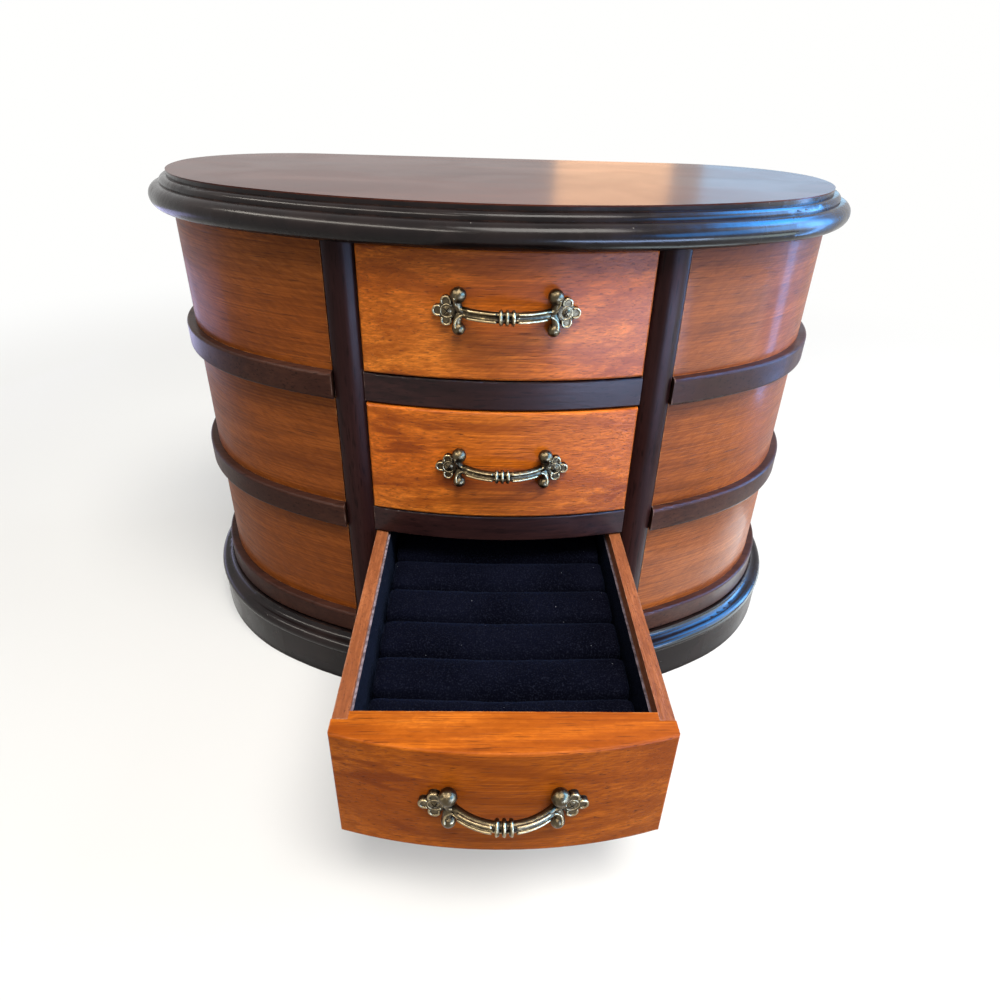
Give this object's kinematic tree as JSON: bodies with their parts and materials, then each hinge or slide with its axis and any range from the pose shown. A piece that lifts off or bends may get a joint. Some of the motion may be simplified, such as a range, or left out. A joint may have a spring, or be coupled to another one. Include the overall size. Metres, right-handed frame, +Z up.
{
  "type": "jewellery box",
  "caption": "Oval wooden jewellery box with bow-front centre drawers on cast pulls, swivel side trays that turn out on rear pivots, a moulded top and a plinth.",
  "frame": {"origin": "The underside of the plinth, on the centre line of the box, at the line through the widest points of its oval plan.", "axes": "+X runs along the box to the right as seen from the front, -Y is the front where the drawers come out, +Z is up."},
  "size_m": [0.3844, 0.3618, 0.2645],
  "materials": {
    "dark_wood": "satin",
    "dark_board": "matte",
    "honey_wood": "satin",
    "box_wood": "satin",
    "top_veneer": "gloss",
    "velvet": "matte",
    "antique_brass": "satin",
    "steel": "satin"
  },
  "bodies": {
    "frame": {"plinth": "dark_wood", "base_deck": "dark_wood", "lower_divider": "dark_wood", "upper_divider": "dark_wood", "back_panel": "dark_board", "left_partition": "dark_board", "right_partition": "dark_board", "left_post": "dark_wood", "right_post": "dark_wood", "top_board": "dark_wood", "top_veneer": "top_veneer", "pivot_rods": "steel", "pivot_washers": "steel"},
    "bottom_drawer": {"bottom_drawer_front": "honey_wood", "bottom_drawer_right_side": "box_wood", "bottom_drawer_left_side": "box_wood", "bottom_drawer_back": "box_wood", "bottom_drawer_bottom": "box_wood", "bottom_drawer_lining": "velvet", "bottom_drawer_pull": "antique_brass", "bottom_drawer_ring_rolls": "velvet"},
    "middle_drawer": {"middle_drawer_front": "honey_wood", "middle_drawer_right_side": "box_wood", "middle_drawer_left_side": "box_wood", "middle_drawer_back": "box_wood", "middle_drawer_bottom": "box_wood", "middle_drawer_lining": "velvet", "middle_drawer_pull": "antique_brass"},
    "top_drawer": {"top_drawer_front": "honey_wood", "top_drawer_right_side": "box_wood", "top_drawer_left_side": "box_wood", "top_drawer_back": "box_wood", "top_drawer_bottom": "box_wood", "top_drawer_lining": "velvet", "top_drawer_pull": "antique_brass"},
    "left_bottom_tray": {"left_bottom_tray_base": "dark_wood", "left_bottom_tray_panel": "honey_wood", "left_bottom_tray_wall": "dark_board", "left_bottom_tray_lining": "velvet"},
    "left_middle_tray": {"left_middle_tray_base": "dark_wood", "left_middle_tray_panel": "honey_wood", "left_middle_tray_wall": "dark_board", "left_middle_tray_lining": "velvet"},
    "left_top_tray": {"left_top_tray_base": "dark_wood", "left_top_tray_panel": "honey_wood", "left_top_tray_wall": "dark_board", "left_top_tray_lining": "velvet"},
    "right_bottom_tray": {"right_bottom_tray_base": "dark_wood", "right_bottom_tray_panel": "honey_wood", "right_bottom_tray_wall": "dark_board", "right_bottom_tray_lining": "velvet"},
    "right_middle_tray": {"right_middle_tray_base": "dark_wood", "right_middle_tray_panel": "honey_wood", "right_middle_tray_wall": "dark_board", "right_middle_tray_lining": "velvet"},
    "right_top_tray": {"right_top_tray_base": "dark_wood", "right_top_tray_panel": "honey_wood", "right_top_tray_wall": "dark_board", "right_top_tray_lining": "velvet"}
  },
  "joints": [
    {"name": "bottom_drawer_slide", "type": "slide", "parent": "frame", "child": "bottom_drawer", "axis": [0, -1, 0], "range_m": [-0.135, 0.015]},
    {"name": "middle_drawer_slide", "type": "slide", "parent": "frame", "child": "middle_drawer", "axis": [0, -1, 0], "range_m": [0, 0.15]},
    {"name": "top_drawer_slide", "type": "slide", "parent": "frame", "child": "top_drawer", "axis": [0, -1, 0], "range_m": [0, 0.15]},
    {"name": "left_bottom_tray_pivot", "type": "hinge", "parent": "frame", "child": "left_bottom_tray", "pos_m": [-0.0945, 0.052, 0.06732], "axis": [0, 0, -1], "range_deg": [0, 90]},
    {"name": "left_middle_tray_pivot", "type": "hinge", "parent": "frame", "child": "left_middle_tray", "pos_m": [-0.0945, 0.052, 0.13915], "axis": [0, 0, -1], "range_deg": [0, 90]},
    {"name": "left_top_tray_pivot", "type": "hinge", "parent": "frame", "child": "left_top_tray", "pos_m": [-0.0945, 0.052, 0.21098], "axis": [0, 0, -1], "range_deg": [0, 90]},
    {"name": "right_bottom_tray_pivot", "type": "hinge", "parent": "frame", "child": "right_bottom_tray", "pos_m": [0.0945, 0.052, 0.06732], "axis": [0, 0, 1], "range_deg": [0, 90]},
    {"name": "right_middle_tray_pivot", "type": "hinge", "parent": "frame", "child": "right_middle_tray", "pos_m": [0.0945, 0.052, 0.13915], "axis": [0, 0, 1], "range_deg": [0, 90]},
    {"name": "right_top_tray_pivot", "type": "hinge", "parent": "frame", "child": "right_top_tray", "pos_m": [0.0945, 0.052, 0.21098], "axis": [0, 0, 1], "range_deg": [0, 90]}
  ]
}
